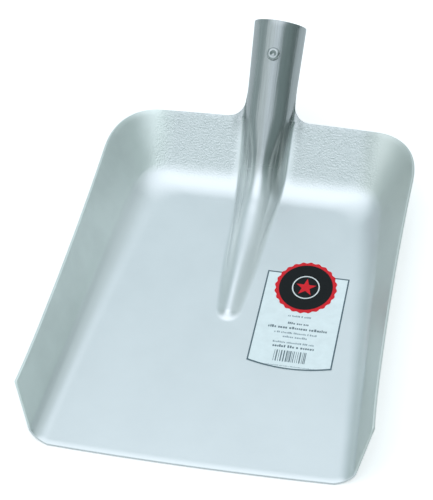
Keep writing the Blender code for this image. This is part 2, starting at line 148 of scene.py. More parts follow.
def wall_lengths(reach, height, angle, power, crease):
    """Lengths of the bend and of the straight part of a wall section, and the bend's run.

    The slope grows along the bend as the `power` of the way along it, so 1 is a plain arc,
    and the bend stops short of the wall's slope by the share `crease`.
    """
    way = np.linspace(0, 1, 65)
    slope = angle * (1 - crease) * way ** power
    step = np.diff(way)
    out = np.concatenate([[0], np.cumsum(step * (np.cos(slope[1:]) + np.cos(slope[:-1])) / 2)])
    up = np.concatenate([[0], np.cumsum(step * (np.sin(slope[1:]) + np.sin(slope[:-1])) / 2)])
    sine, cosine = math.sin(angle), math.cos(angle)
    bend = (reach * sine - height * cosine) / (out[-1] * sine - up[-1] * cosine)
    straight = (height - bend * up[-1]) / sine
    return bend, straight, way, out * bend, up * bend


def wall_point(share, section, arcs):
    """Point of a wall section: share runs 0..1 over the rings, the bend takes `arcs` of it."""
    _, straight, way, out, up = wall_lengths(*section)
    angle = section[2]
    if share <= arcs:
        at = share / arcs
        return float(np.interp(at, way, out)), float(np.interp(at, way, up))
    along = straight * (share - arcs) / (1 - arcs)
    return out[-1] + along * math.cos(angle), up[-1] + along * math.sin(angle)


def side_slope(y):
    """Slope of the straight part of a side wall."""
    return math.radians(SIDE_SLOPE - SIDE_LEAN * (min(y, CORNER_Y) / CORNER_Y) ** 2)


def rim_place(y):
    """y at the rim of the wall section that starts from y on the floor's edge."""
    way = max(0.0, (y - FAN_FROM) / (FLOOR_STRAIGHT_Y - FAN_FROM))
    return y + (CORNER_Y - FLOOR_STRAIGHT_Y) * way ** 2


def side_section(y):
    """Reach outwards, height, slope, power and crease of the wall section starting from y."""
    at_rim = rim_place(y)
    reach = rim_half(at_rim) - floor_half(y)
    return reach, rim_height(at_rim), side_slope(at_rim), SIDE_BEND_POWER, SIDE_CREASE


def side_wall(y, share, arcs):
    """Offset outwards from the floor edge, and height, on a side wall."""
    return wall_point(share, side_section(y), arcs)


def back_wall(share, arcs):
    """Offset backwards from the floor edge, and height, on the back wall."""
    return wall_point(share, (BACK_RIM_Y - BACK_BEND_Y, BACK_RIM_Z, BACK_SLOPE, 1, 0), arcs)


def share_length(y, share, arcs):
    """How far along a side wall's section a ring lies, 0 at the floor and 1 at the rim."""
    bend, straight = wall_lengths(*side_section(y))[:2]
    if share <= arcs:
        return bend * share / arcs / (bend + straight)
    return (bend + straight * (share - arcs) / (1 - arcs)) / (bend + straight)


def rib_section(high, half, foot, shoulder, bell=0.0):
    """Half of the bump's cross section as a fine polyline, centre first: x, height.

    A shoulder of 1 lays the full narrow crest on the full wide shoulder, with a crease
    where they meet, and a shoulder of 0 is one plain arch. A bell of 1 is a soft wave.
    """
    reach = math.sqrt(half * half + 2 * half * foot)
    turn = math.asin(reach / (half + foot))
    phi = np.linspace(0, turn, 160)
    arc = np.stack([half * np.sin(phi), half * np.cos(phi)], 1)
    psi = np.linspace(turn, 0, 40)[1:]
    fillet = np.stack([reach - foot * np.sin(psi), foot - foot * np.cos(psi)], 1)
    line = np.concatenate([arc, fillet])
    crest_half = half * (1 - CREST_NARROWER * shoulder)
    crest = half * np.sqrt(np.clip(1 - (line[:, 0] / crest_half) ** 2, 0, None))
    line[:, 1] = np.maximum(line[:, 1] * (1 - SHOULDER_LOWER * shoulder), crest)
    line[:, 1] *= high / half
    if bell == 0:
        return line
    x = np.linspace(0, half * BELL_WIDER, 160)
    wave = high * (1 + np.cos(math.pi * x / x[-1])) / 2
    arch = np.interp(x, line[:, 0], line[:, 1], right=0.0)
    return np.stack([x, wave * bell + arch * (1 - bell)], 1)


def spread(line, end_x, count):
    """`count`+1 points evenly spaced along a section from its centre to x = end_x."""
    if end_x > line[-1, 0]:
        line = np.concatenate([line, [[end_x, line[-1, 1]]]])
    else:
        z = np.interp(end_x, line[:, 0], line[:, 1])
        line = np.concatenate([line[line[:, 0] < end_x], [[end_x, z]]])
    run = np.concatenate([[0], np.cumsum(np.hypot(*np.diff(line, axis=0).T))])
    at = np.linspace(0, run[-1], count + 1)
    return np.stack([np.interp(at, run, line[:, 0]), np.interp(at, run, line[:, 1])], 1)


def axis_place(y, z):
    """Distance of a centre-line point from the socket mouth along the axis."""
    return float((SOCKET_MOUTH - [0.0, y, z]) @ AXIS)


def axis_height(y, z):
    """Height of a centre-line point above the axis."""
    return float((np.array([0.0, y, z]) - SOCKET_MOUTH) @ PRESS)


def socket_radius(a):
    return SOCKET_R - SOCKET_TAPER * a


def bump_size(y, z):
    """Height and half width of the bump over the pan point (0, y, z)."""
    a = axis_place(y, z)
    on_socket = a < RIB_HALF[0][0]
    half = socket_radius(a) if on_socket else float(curve(RIB_HALF, a))
    round_top = a < RIB_HIGH[0][0]
    high = half - axis_height(y, z) if round_top else float(curve(RIB_HIGH, a))
    return high, half


def strip_reach(y):
    """Half width of the finely divided strip along the rib."""
    return float(curve(STRIP, y))


def centre_columns(y, z, count):
    """x and bump height of the columns over the rib, from the middle outwards."""
    high, half = bump_size(y, z)
    shoulder = float(curve(SHOULDER, axis_place(y, z)))
    bell = float(curve(BELL, y))
    line = rib_section(high, half, float(curve(RIB_FOOT, y)), shoulder, bell)
    if y >= RIB_END_Y:
        return spread(line, strip_reach(y), count)
    gap = (RIB_END_Y - y) / RIB_END_LONGER
    x = np.linspace(0, strip_reach(y), count + 1)
    return np.stack([x, np.interp(np.hypot(x, gap), line[:, 0], line[:, 1])], 1)


def bowed(x, y, edge):
    """Forward bow of the mouth edge, faded out along the floor."""
    return -MOUTH_BOW * (1 - (x / edge) ** 2) * max(0.0, 1 - y / MOUTH_BOW_END) ** 2


def middle_row(y, z, edge, share, strip, flat):
    """One line across the floor or the back wall, from edge to edge over the rib."""
    columns = centre_columns(y, z, strip)
    outer = [columns[-1, 0] + (edge - columns[-1, 0]) * k / flat for k in range(1, flat + 1)]
    half_row = [(x, h) for x, h in columns] + [(x, 0.0) for x in outer]
    row = []
    for x, h in [(-x, h) for x, h in half_row[:0:-1]] + half_row:
        bend = -BACK_RIM_BOW * (x / 100) ** 2 * share
        row.append(np.array([x, y + bowed(x, y, edge) + bend, z]) + PRESS * h)
    return row


def side_row(side, y, shares, arcs):
    """One section of a side wall, from the floor up to the rim."""
    cut = FRONT_CUT * max(0.0, 1 - y / FRONT_CUT_END) ** 2
    reach = side_section(y)[0]
    row = []
    for share in shares:
        dx, z = side_wall(y, share, arcs)
        lean = (rim_place(y) - y) * dx / reach
        back = cut * share_length(y, share, arcs) + lean
        row.append(np.array([side * (floor_half(y) + dx), y + back, z]))
    return row


def corner_row(side, way, shares, arcs):
    """One section of a back corner; way is 0 at the side wall and 1 at the back wall."""
    on_floor = FLOOR_CORNER_LEAD + (math.pi / 2 - FLOOR_CORNER_LEAD) * way
    floor_x = FLOOR_CORNER_X + FLOOR_CORNER_R * math.cos(on_floor)
    floor_y = FLOOR_CORNER_Y + FLOOR_CORNER_R * math.sin(on_floor)
    on_rim = math.pi / 2 * way
    rim_x = CORNER_X + (rim_half(CORNER_Y) - CORNER_X) * math.cos(on_rim) ** (2 / CORNER_POWER)
    rim_y = CORNER_Y + (BACK_RIM_Y - CORNER_Y) * math.sin(on_rim) ** (2 / CORNER_POWER)
    blend = math.sin(on_rim) ** 2
    side_reach = side_section(FLOOR_STRAIGHT_Y)[0]
    row = []
    for share in shares:
        side_out, side_z = side_wall(FLOOR_STRAIGHT_Y, share, arcs)
        back_out, back_z = back_wall(share, arcs)
        out = (side_out / side_reach * (1 - blend)
               + back_out / (BACK_RIM_Y - BACK_BEND_Y) * blend)
        x = floor_x + (rim_x - floor_x) * out
        y = floor_y + (rim_y - floor_y) * out - BACK_RIM_BOW * (x / 100) ** 2 * share * blend
        row.append(np.array([side * x, y, side_z * (1 - blend) + back_z * blend]))
    return row


def neck_row(a, strip):
    """One line across the neck or the socket's front half, `a` from the socket mouth."""
    into = min(1.0, max(0.0, (a - CLOSED_FROM) / (RIM_A - CLOSED_FROM)))
    half = socket_radius(a)
    if a <= CLOSED_FROM:
        pan = 0.0
        phi = np.linspace(0, math.pi / 2, strip + 1)
        columns = np.stack([half * np.sin(phi), half * np.cos(phi)], 1)
    else:
        pan = into * (axis_height(BACK_RIM_Y, BACK_RIM_Z) + (RIM_A - a) * WEB_RISE)
        foot = max(RIB_FOOT[-1][1] * into, 0.01)
        section = rib_section(half - pan, half, foot, float(curve(SHOULDER, a)))
        columns = spread(section, neck_outline(a, half), strip)
    row = []
    for x, h in [(-x, h) for x, h in columns[:0:-1]] + [tuple(c) for c in columns]:
        skew = MOUTH_SKEW * x * max(0.0, 1 - a / MOUTH_SKEW_END)
        row.append(SOCKET_MOUTH - AXIS * (a + skew) + PRESS * (pan + h) + np.array([x, 0, 0]))
    return row


def neck_outline(a, half):
    """Half width of the sheet between the back rim and the closed socket."""
    above = RIM_A - a
    if above < NECK_ARC - 0.01:
        return NECK_HALF + NECK_ARC - math.sqrt(NECK_ARC ** 2 - (NECK_ARC - above) ** 2)
    way = (above - NECK_ARC) / (RIM_A - NECK_ARC - CLOSED_FROM)
    return max(half, NECK_HALF + (half - NECK_HALF) * min(1.0, way))


def blade_surface(stations, rings, arcs, strip, flat, fan, neck, tube):
    """Top face of the sheet as lists of vertices and faces.

    stations: y of the lines across the floor, the last at FLOOR_STRAIGHT_Y; rings: steps up
    the walls, `arcs` of them on the bend; strip and flat: columns over the rib and beside
    it; fan: lines round a corner; neck and tube: lines across the neck and the socket.
    """
    shares = [r / rings for r in range(rings + 1)]
    bend = arcs / rings
    verts, faces = [], []

    def grid(rows):
        base = len(verts)
        width = len(rows[0])
        for row in rows:
            verts.extend(row)
        for i in range(len(rows) - 1):
            for j in range(width - 1):
                k = base + i * width + j
                faces.append((k, k + 1, k + width + 1, k + width))

    corner = [FLOOR_CORNER_LEAD + (math.pi / 2 - FLOOR_CORNER_LEAD) * k / fan
              for k in range(1, fan + 1)]
    floor_lines = list(stations) + [FLOOR_CORNER_Y + FLOOR_CORNER_R * math.sin(turn)
                                    for turn in corner]
    middle = [middle_row(y, 0.0, floor_edge(y), 0.0, strip, flat) for y in floor_lines]
    for share in shares[1:]:
        out, z = back_wall(share, bend)
        way = out / (BACK_RIM_Y - BACK_BEND_Y)
        edge = FLOOR_CORNER_X + (CORNER_X - FLOOR_CORNER_X) * way
        middle.append(middle_row(BACK_BEND_Y + out, z, edge, share, strip, flat))
    grid(middle)
    for side in (-1, 1):
        grid([side_row(side, y, shares, bend) for y in stations])
        grid([corner_row(side, k / fan, shares, bend) for k in range(fan + 1)])
    places = [RIM_A - NECK_ARC * math.sin(math.pi / 2 * (k / neck)) for k in range(1, neck + 1)]
    places += [places[-1] * (1 - k / tube) for k in range(1, tube + 1)]
    rim_row = [p for p in middle[-1] if abs(p[0]) < strip_reach(BACK_RIM_Y) + 0.01]
    grid([rim_row] + [neck_row(a, strip) for a in places])
    return verts, faces


# ---- helpers -----------------------------------------------------------------------------

def place(p):
    """Working frame, millimetres, to part frame, metres."""
    return (p[0] * MM, (p[1] + SHIFT_Y) * MM, (p[2] + SHIFT_Z) * MM)


def add_object(bm, name, material, slot=None, smooth=True):
    """Object from a mesh. With a slot, it is part of the model and rides the root body."""
    mesh = bpy.data.meshes.new(name)
    bm.to_mesh(mesh)
    bm.free()
    mesh.materials.append(material)
    obj = bpy.data.objects.new(name, mesh)
    bpy.context.scene.collection.objects.link(obj)
    for poly in mesh.polygons:
        poly.use_smooth = smooth
    if slot:
        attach(obj, "root")
    return obj


MIX_BASE, MIX_TOP, MIX_RESULT = 6, 7, 2      # a Mix node's colour sockets


class Nodes:
    """Short hand for building a node tree. A value is an output, a number or a colour."""

    def __init__(self, tree):
        self.tree = tree

    def add(self, kind, **values):
        node = self.tree.nodes.new(kind)
        for key, value in values.items():
            if key in node.inputs.keys():
                node.inputs[key].default_value = value
            else:
                setattr(node, key, value)
        return node

    def feed(self, value, socket):
        if isinstance(value, bpy.types.NodeSocket):
            self.tree.links.new(value, socket)
        elif isinstance(value, tuple):
            socket.default_value = (*value, 1)
        else:
            socket.default_value = value

    def math(self, operation, *values):
        node = self.add("ShaderNodeMath", operation=operation)
        for value, socket in zip(values, node.inputs):
            self.feed(value, socket)
        return node.outputs["Value"]

    def product(self, first, *others):
        for other in others:
            first = self.math("MULTIPLY", first, other)
        return first

    def noise(self, where, scale, detail=3.0, roughness=0.6):
        node = self.add("ShaderNodeTexNoise", Scale=scale, Detail=detail, Roughness=roughness)
        self.feed(where, node.inputs["Vector"])
        return node.outputs["Fac"]

    def ramp(self, source, span, ends=(0.0, 1.0), shape="SMOOTHSTEP"):
        """Goes from one end to the other over the span, and is flat outside it."""
        node = self.add("ShaderNodeMapRange", interpolation_type=shape)
        node.inputs["From Min"].default_value, node.inputs["From Max"].default_value = span
        node.inputs["To Min"].default_value, node.inputs["To Max"].default_value = ends
        self.feed(source, node.inputs["Value"])
        return node.outputs["Result"]

    def mask(self, source, span, shift=0.0):
        """0 at the first of two places in working-frame millimetres, 1 at the second."""
        return self.ramp(source, tuple((at + shift) * MM for at in span))

    def mask_along(self, where, direction, span):
        """The same, for places along a direction from the middle of the socket mouth."""
        along = self.add("ShaderNodeVectorMath", operation="DOT_PRODUCT")
        along.inputs[1].default_value = direction
        self.feed(where, along.inputs[0])
        start = float(np.dot(place(SOCKET_MOUTH), direction)) / MM
        return self.mask(along.outputs["Value"], span, start)

    def mottled(self, source, span, colour, share):
        """A colour that is darkened to a share of itself where the source is low."""
        node = self.add("ShaderNodeValToRGB")
        low, high = node.color_ramp.elements
        low.position, high.position = span
        low.color = (*[c * share for c in colour], 1)
        high.color = (*colour, 1)
        self.feed(source, node.inputs["Fac"])
        return node.outputs["Color"]

    def mixed(self, base, top, mask, blend="MIX"):
        """The base colour, with the top one laid on it where the mask is 1."""
        node = self.add("ShaderNodeMix", data_type="RGBA", blend_type=blend)
        self.feed(mask, node.inputs["Factor"])
        self.feed(base, node.inputs[MIX_BASE])
        self.feed(top, node.inputs[MIX_TOP])
        return node.outputs[MIX_RESULT]

    def bump(self, height, distance, strength, below=None):
        """Normal of a raised surface, laid over the normal of a coarser one."""
        node = self.add("ShaderNodeBump", Distance=distance)
        self.feed(height, node.inputs["Height"])
        self.feed(strength, node.inputs["Strength"])
        if below is not None:
            self.feed(below, node.inputs["Normal"])
        return node.outputs["Normal"]


def new_material(name):
    material = bpy.data.materials.new(name)
    material.use_nodes = True
    nodes = Nodes(material.node_tree)
    shader = material.node_tree.nodes["Principled BSDF"]
    return material, nodes, shader


# ---- materials ---------------------------------------------------------------------------

CLOUD_DARK = 0.96                # tone of the darkest clouds in the bare metal
CLOUD_SPAN = (0.3, 0.7)
CLOUD_GLOSS = 0.03               # the clouds vary the roughness by this much either way
ROLLED = (1100, 60, 1100)        # rolling lines to the metre across, along and up
DRAWN = (1 / 700, 1 / 9, 1 / 700)    # size of a draw mark in metres, with y along the socket
SOCKET_SMOOTHER = 0.12           # how much less rough the drawn socket is than the pan
SOCKET_SHADE = (0.58, 0.59, 0.59)     # and how much darker it is painted: painted shade
STREAK_DARK = 0.91               # tone of the darkest draw marks
DRAW_MARKS = 0.5                 # strength of the marks left by drawing the socket
WAVES = 0.12                     # gentle unevenness of the whole sheet
SKIN = 0.05                      # fine skin away from the orange peel
LEFT_WALL_LIT = (0.91, 0.95, 0.925)   # painted light: the left wall is painted brighter
LEFT_WALL_DARK = 0.92            # tone of the darkest clouds in it
MOTTLE_SPAN = (0.35, 0.6)
RIGHT_WALL_TONE = (0.95, 0.96, 0.92)     # and the right one slightly greener
FLANK_SHADE = (0.70, 0.71, 0.70)          # painted shade on the right flank of the rib below the socket
WALL_ROUGHER = 0.15              # the side walls and corners are more matt than the floor

# Places on the sheet: the mask is 0 at the first number and 1 at the second.
TUBE_Y = (300.0, 325.0)          # the socket with its painted shade, whole from here back
SHADED_CREST_FROM = (-132.0, -106.0)     # its crest, painted shaded like the socket, along the axis from the socket mouth
SHADED_CREST_HEIGHT = (3.0, 9.0)         # and above the axis
SOCKET_ASIDE = (32.0, 24.0)      # nothing of it lies further than this from the middle
ABOVE_BEND = (5.0, 11.0)         # walls, by height
WALL_ASIDE = (72.0, 88.0)        # and by distance from the middle
FLANK_HEIGHT = ((4.0, 8.0), (16.0, 12.0))         # above the axis
FLANK_LENGTH = ((-146.0, -130.0), (-72.0, -90.0))     # along it, from the socket mouth
FLANK_X = (3.0, 9.0)
PEEL_Y = (BACK_BEND_Y + 12.0, BACK_BEND_Y + 30.0)     # orange peel on the back wall
PEEL_ASIDE = ((19.0, 27.0), (96.0, 82.0))             # between the neck and the corners


def sheet_masks(nodes, where):
    """Masks of the places on the sheet that look different, by name."""
    split = nodes.add("ShaderNodeSeparateXYZ")
    nodes.feed(where, split.inputs["Vector"])
    x, y, z = (split.outputs[axis] for axis in "XYZ")
    aside = nodes.math("ABSOLUTE", x)
    near = nodes.mask(aside, SOCKET_ASIDE)
    above_bend = nodes.mask(z, ABOVE_BEND, SHIFT_Z)
    crest = nodes.product(nodes.mask_along(where, AXIS, SHADED_CREST_FROM),
                          nodes.mask_along(where, PRESS, SHADED_CREST_HEIGHT))
    tube_or_crest = nodes.math("MAXIMUM", nodes.mask(y, TUBE_Y, SHIFT_Y), crest)
    flank = [nodes.mask_along(where, PRESS, span) for span in FLANK_HEIGHT]
    flank += [nodes.mask_along(where, AXIS, span) for span in FLANK_LENGTH]
    left = tuple(-at for at in WALL_ASIDE)
    return {
        "socket": nodes.product(tube_or_crest, near),
        "left wall": nodes.product(above_bend, nodes.mask(x, left)),
        "right wall": nodes.product(above_bend, nodes.mask(x, WALL_ASIDE)),
        "walls": nodes.product(above_bend, nodes.mask(aside, WALL_ASIDE)),
        "flank": nodes.product(*flank, nodes.mask(x, FLANK_X), near),
        "peel": nodes.product(nodes.mask(y, PEEL_Y, SHIFT_Y),
                              *[nodes.mask(aside, span) for span in PEEL_ASIDE]),
    }


def sheet_colour(nodes, colour, cloud, draw, masks):
    """Clouded metal; painted shade on the streaked socket and rib flank, painted light on the
    left wall, greener right wall.
    """
    clouded = nodes.mottled(cloud, CLOUD_SPAN, colour, CLOUD_DARK)
    streaks_and_shade = nodes.mottled(draw, MOTTLE_SPAN, SOCKET_SHADE, STREAK_DARK)
    lit_left_wall = nodes.mottled(cloud, MOTTLE_SPAN, LEFT_WALL_LIT, LEFT_WALL_DARK)
    # painted shade on the socket and its crest, with the draw streaks in it
    colour = nodes.mixed(clouded, streaks_and_shade, masks["socket"], "MULTIPLY")
    # painted light on the left wall, clouded
    colour = nodes.mixed(colour, lit_left_wall, masks["left wall"])
    colour = nodes.mixed(colour, RIGHT_WALL_TONE, masks["right wall"], "MULTIPLY")
    # painted shade on the rib's right flank
    return nodes.mixed(colour, FLANK_SHADE, masks["flank"], "MULTIPLY")


def aluminium(name, colour, roughness, peel, grain):
    """Bare sheet: peel is the orange peel of the stretched back wall, grain the rolling lines."""
    material, nodes, shader = new_material(name)
    shader.inputs["Metallic"].default_value = 1.0
    where = nodes.add("ShaderNodeTexCoord").outputs["Object"]
    masks = sheet_masks(nodes, where)
    rolled = nodes.add("ShaderNodeMapping", Scale=ROLLED)
    drawn = nodes.add("ShaderNodeMapping", vector_type="TEXTURE",
                      Rotation=(SOCKET_ANGLE, 0, 0), Scale=DRAWN)
    for mapping in (rolled, drawn):
        nodes.feed(where, mapping.inputs["Vector"])
    lines = nodes.noise(rolled.outputs["Vector"], 1.0)
    draw = nodes.noise(drawn.outputs["Vector"], 1.0)
    cloud = nodes.noise(where, 18.0, detail=4.0)
    skin = nodes.noise(where, 750.0)
    swell = nodes.noise(where, 26.0, roughness=0.55)
    nodes.feed(sheet_colour(nodes, colour, cloud, draw, masks), shader.inputs["Base Color"])

    rough = nodes.ramp(cloud, CLOUD_SPAN, (roughness - CLOUD_GLOSS, roughness + CLOUD_GLOSS),
                       "LINEAR")
    smoother = nodes.product(masks["socket"], SOCKET_SMOOTHER)
    rough = nodes.math("SUBTRACT", rough, smoother)
    rough = nodes.math("MULTIPLY_ADD", masks["walls"], WALL_ROUGHER, rough)
    nodes.feed(rough, shader.inputs["Roughness"])

    peeled = nodes.ramp(masks["peel"], (0, 1), (SKIN, peel), "LINEAR") if peel else SKIN
    surface = nodes.bump(swell, 0.001, WAVES)
    surface = nodes.bump(lines, 0.00005, grain, surface)
    surface = nodes.bump(draw, 0.00022, nodes.product(masks["socket"], DRAW_MARKS), surface)
    surface = nodes.bump(skin, 0.0009, peeled, surface)
    nodes.feed(surface, shader.inputs["Normal"])
    return material


def plain(name, colour, roughness, shine=0.5, mottle=0.04):
    """Printed or coated surface with a faint mottle in its colour and gloss."""
    material, nodes, shader = new_material(name)
    shader.inputs["Specular IOR Level"].default_value = shine
    where = nodes.add("ShaderNodeTexCoord").outputs["Object"]
    cloud = nodes.noise(where, 160.0, detail=4.0)
    tint = nodes.mottled(cloud, CLOUD_SPAN, colour, 1 - 2 * mottle)
    rough = nodes.ramp(cloud, (0, 1), (roughness - 0.05, roughness + 0.05), "LINEAR")
    nodes.feed(tint, shader.inputs["Base Color"])
    nodes.feed(rough, shader.inputs["Roughness"])
    return material


# ---- blade -------------------------------------------------------------------------------

EDGE_BULGE = 0.45                # the cut edge stands out this far, fuller than a half round
EDGE_STEPS = 8
EDGE_FULLER = 0.6
TIP_SPAN = (130.0, 146.0)        # floor lines are closest over the rib's rounded front end
WELD = 0.00001                   # lines shared by two grids are joined within this, metres
SLIVER = 0.000005


def edge_round():
    """Rounded edge of a sheet: pairs of outward bulge and depth below the top face."""
    line = []
    for k in range(1, EDGE_STEPS):
        turn = math.pi * k / EDGE_STEPS
        line.append((EDGE_BULGE * math.sin(turn) ** EDGE_FULLER,
                     SHEET * (1 - math.cos(turn)) / 2))
    return line


def floor_stations():
    """y of the lines across the floor, closer together along the rib and at its tip."""
    start, end = TIP_SPAN
    front = [start * k / 30 for k in range(30)]
    tip = [start + (end - start) * k / 26 for k in range(26)]
    rib = [end + (FLOOR_STRAIGHT_Y - end) * k / 36 for k in range(37)]
    return front + tip + rib


def top_face():
    """The sheet's top face as one welded mesh with its normals up."""
    verts, faces = blade_surface(floor_stations(), rings=34, arcs=24, strip=54, flat=14,
                                 fan=28, neck=22, tube=14)
    bm = bmesh.new()
    made = [bm.verts.new(place(v)) for v in verts]
    for face in faces:
        bm.faces.new([made[k] for k in face])
    bmesh.ops.remove_doubles(bm, verts=bm.verts, dist=WELD)
    bmesh.ops.dissolve_degenerate(bm, edges=bm.edges, dist=SLIVER)
    bmesh.ops.recalc_face_normals(bm, faces=bm.faces)
    if sum(f.normal.z * f.calc_area() for f in bm.faces) < 0:
        bmesh.ops.reverse_faces(bm, faces=bm.faces)
    bm.normal_update()
    return bm


def make_blade(material):
    """The top face, its offset by the sheet's thickness, and a rounded edge between them."""
    bm = top_face()
    top = list(bm.faces)
    after = {}                   # next vertex round the sheet's outline
    for edge in bm.edges:
        if edge.is_boundary:
            loop = edge.link_loops[0]
            after[loop.vert] = loop.link_loop_next.vert
    before = {b: a for a, b in after.items()}
    levels = [{} for _ in edge_round()]
    for v in after:
        along = (after[v].co - before[v].co).normalized()
        outward = along.cross(v.normal).normalized()
        for level, (bulge, depth) in zip(levels, edge_round()):
            level[v] = bm.verts.new(v.co + outward * bulge * MM - v.normal * depth * MM)
    under = {v: bm.verts.new(v.co - v.normal * SHEET * MM) for v in list(bm.verts)
             if v.link_faces}
    for face in top:
        bm.faces.new([under[v] for v in reversed(face.verts)])
    chain = [{v: v for v in after}] + levels + [under]
    for a, b in after.items():
        for high, low in zip(chain, chain[1:]):
            bm.faces.new([high[b], high[a], low[a], low[b]])
    bmesh.ops.recalc_face_normals(bm, faces=bm.faces)
    return add_object(bm, "blade_sheet", material, "bare_aluminium")


# ---- socket sleeve and rivet --------------------------------------------------------------

SLEEVE_WALL = 1.5
SLEEVE_CLEAR = 0.5               # between the blade's sheet and the sleeve
SLEEVE_SEAM = 1.0                # gap at the back where the rolled sheet's edges meet
SLEEVE_ENDS = (0.8, 76.0)        # from the socket mouth
SLEEVE_LIP = 0.5                 # depth of the hollow worked into the mouth end
SLEEVE_BEVEL = 0.3               # between the bore and the inner corner of the mouth end
SLEEVE_SEGMENTS = 96
RIVET_A = 26.9                   # rivet centre, from the socket mouth
RIVET_SHANK = 2.4                # radii
RIVET_TAIL = 4.0
RIVET_UNDER = 5.0                # the head where it enters the blade's sheet
RIVET_DIMPLE = 2.9
RIVET_ROLL = (2.3, 1.9)          # width and height of the rolled rim round the dimple
RIVET_SEAT = 0.7                 # height of the head's widest line above the sheet
RIVET_DIMPLE_DEPTH = 1.2
RIVET_TAIL_GAP = 0.9             # room for the curve of the sleeve under the flat tail
RIVET_SEGMENTS = 64
ROUND_STEPS = 10


def sleeve_section(lip_steps=6, lengths=8):
    """Section of the tube's wall: offset from its outside, and distance from the mouth.

    It goes out of the hollow in the mouth end, along the outside, and back along the bore.
    A known fault: at the mouth the bore's last lines double back over it by 0.4 mm.
    """
    mouth_end, far_end = SLEEVE_ENDS
    outside = []
    for k in range(lip_steps, -1, -1):
        turn = math.pi / 2 * k / lip_steps
        outside.append((-SLEEVE_LIP * math.sin(turn),
                        mouth_end + SLEEVE_LIP * (1 - math.cos(turn))))
    outside += [(0.0, mouth_end + SLEEVE_LIP + (far_end - mouth_end) * k / lengths)
                for k in range(1, lengths)]
    outside.append((0.0, far_end))
    bore = [(-SLEEVE_WALL, a) for _, a in outside[:0:-1]]
    return outside + bore + [(SLEEVE_BEVEL - SLEEVE_WALL, mouth_end)]


def make_sleeve(material):
    """Rolled tapered tube with a narrow seam at the back."""
    bm = bmesh.new()
    rows = []
    for offset, a in sleeve_section():
        radius = socket_radius(a) - SHEET - SLEEVE_CLEAR + offset
        half_gap = SLEEVE_SEAM / 2 / radius
        row = []
        for k in range(SLEEVE_SEGMENTS + 1):
            phi = -math.pi + half_gap + (2 * math.pi - 2 * half_gap) * k / SLEEVE_SEGMENTS
            p = (SOCKET_MOUTH - AXIS * a + PRESS * radius * math.cos(phi)
                 + np.array([radius * math.sin(phi), 0, 0]))
            row.append(bm.verts.new(place(p)))
        rows.append(row)
    for one, two in zip(rows, rows[1:] + rows[:1]):
        for k in range(SLEEVE_SEGMENTS):
            bm.faces.new([one[k], one[k + 1], two[k + 1], two[k]])
    for k in (0, SLEEVE_SEGMENTS):
        bm.faces.new([row[k] for row in rows])
    bmesh.ops.recalc_face_normals(bm, faces=bm.faces)
    return add_object(bm, "socket_sleeve_tube", material, "sleeve_aluminium")


def rivet_profile():
    """Radius and height of the turned rivet, from the middle of its tail to its dimple."""
    tail = -(SHEET + SLEEVE_CLEAR + SLEEVE_WALL + RIVET_TAIL_GAP)
    profile = [(0, tail - 1.3), (3.0, tail - 1.2), (RIVET_TAIL, tail - 0.7),
               (RIVET_TAIL, tail), (RIVET_SHANK, tail), (RIVET_SHANK, 0.0),
               (RIVET_UNDER, -0.5)]
    width, height = RIVET_ROLL
    for k in range(ROUND_STEPS + 1):
        turn = math.pi / 2 * k / ROUND_STEPS
        profile.append((RIVET_DIMPLE + width * math.cos(turn),
                        RIVET_SEAT + height * math.sin(turn)))
    for k in range(1, ROUND_STEPS + 1):
        turn = math.pi / 2 * k / ROUND_STEPS
        profile.append((RIVET_DIMPLE * (1 - k / ROUND_STEPS),
                        RIVET_SEAT + height - RIVET_DIMPLE_DEPTH * math.sin(turn) ** 1.5))
    return profile


def make_rivet(material):
    centre = SOCKET_MOUTH - AXIS * RIVET_A + PRESS * socket_radius(RIVET_A)
    side = np.array([1.0, 0.0, 0.0])
    turns = [2 * math.pi * k / RIVET_SEGMENTS for k in range(RIVET_SEGMENTS)]
    bm = bmesh.new()
    rows = []
    for radius, height in rivet_profile():
        middle = centre + PRESS * height
        if radius < 1e-6:
            rows.append([bm.verts.new(place(middle))])
            continue
        rows.append([bm.verts.new(place(
            middle + radius * (side * math.cos(turn) + AXIS * math.sin(turn))))
            for turn in turns])
    for low, high in zip(rows, rows[1:]):
        for k in range(RIVET_SEGMENTS):
            n = (k + 1) % RIVET_SEGMENTS
            if len(low) == 1:
                bm.faces.new([low[0], high[k], high[n]])
            elif len(high) == 1:
                bm.faces.new([low[k], low[n], high[0]])
            else:
                bm.faces.new([low[k], low[n], high[n], high[k]])
    bmesh.ops.recalc_face_normals(bm, faces=bm.faces)
    return add_object(bm, "socket_rivet_turned", material, "rivet_aluminium")


# ---- label and seal ------------------------------------------------------------------------

LABEL_X, LABEL_Y, LABEL_W, LABEL_H = 53.5, 145.0, 63.0, 91.0
LABEL_BOW = 4.5                  # the lower edge curves down by this much
LABEL_BORDER = 1.1
FILM_UNDER = 0.02                # faces of the film above the floor
FILM_Z = 0.25
BORDER_THICK = 0.06
PRINT_THICK = 0.04
PRINT_ROWS = (                   # y, half length, height, weight of the rows of plain marks
    (146.2, 8.5, 1.6, "thin"), (138.8, 7.5, 2.0, "bold"), (133.9, 21.5, 2.4, "bold"),
    (129.2, 16.0, 1.6, "thin"), (125.2, 9.0, 1.8, "thin"), (119.6, 15.5, 1.6, "thin"),
    (115.4, 15.0, 2.4, "bold"), (97.4, 19.0, 0.8, "thin"))
BARCODE_HALF = 12.5
BARCODE_Y = (101.8, 112.6)
SEAL_X, SEAL_Y = 53.4, 177.0
SEAL_OUT = (23.2, 25.8)          # half width and half length of its ovals
SEAL_BLACK = (20.4, 22.9)
RING_OUT = (10.5, 11.8)
RING_IN = (9.6, 10.8)
SEAL_TEETH = 24
TOOTH = 0.022                    # a tooth's height, as a share of the radius
STAR = (8.0, 3.2)                # radii of the star's points and of its notches
STAR_LONGER = 1.12
SEAL_Z = FILM_Z + 0.02
SEAL_TOP = SEAL_Z + 0.2
INK = 0.05                       # each layer printed on the seal stands this high


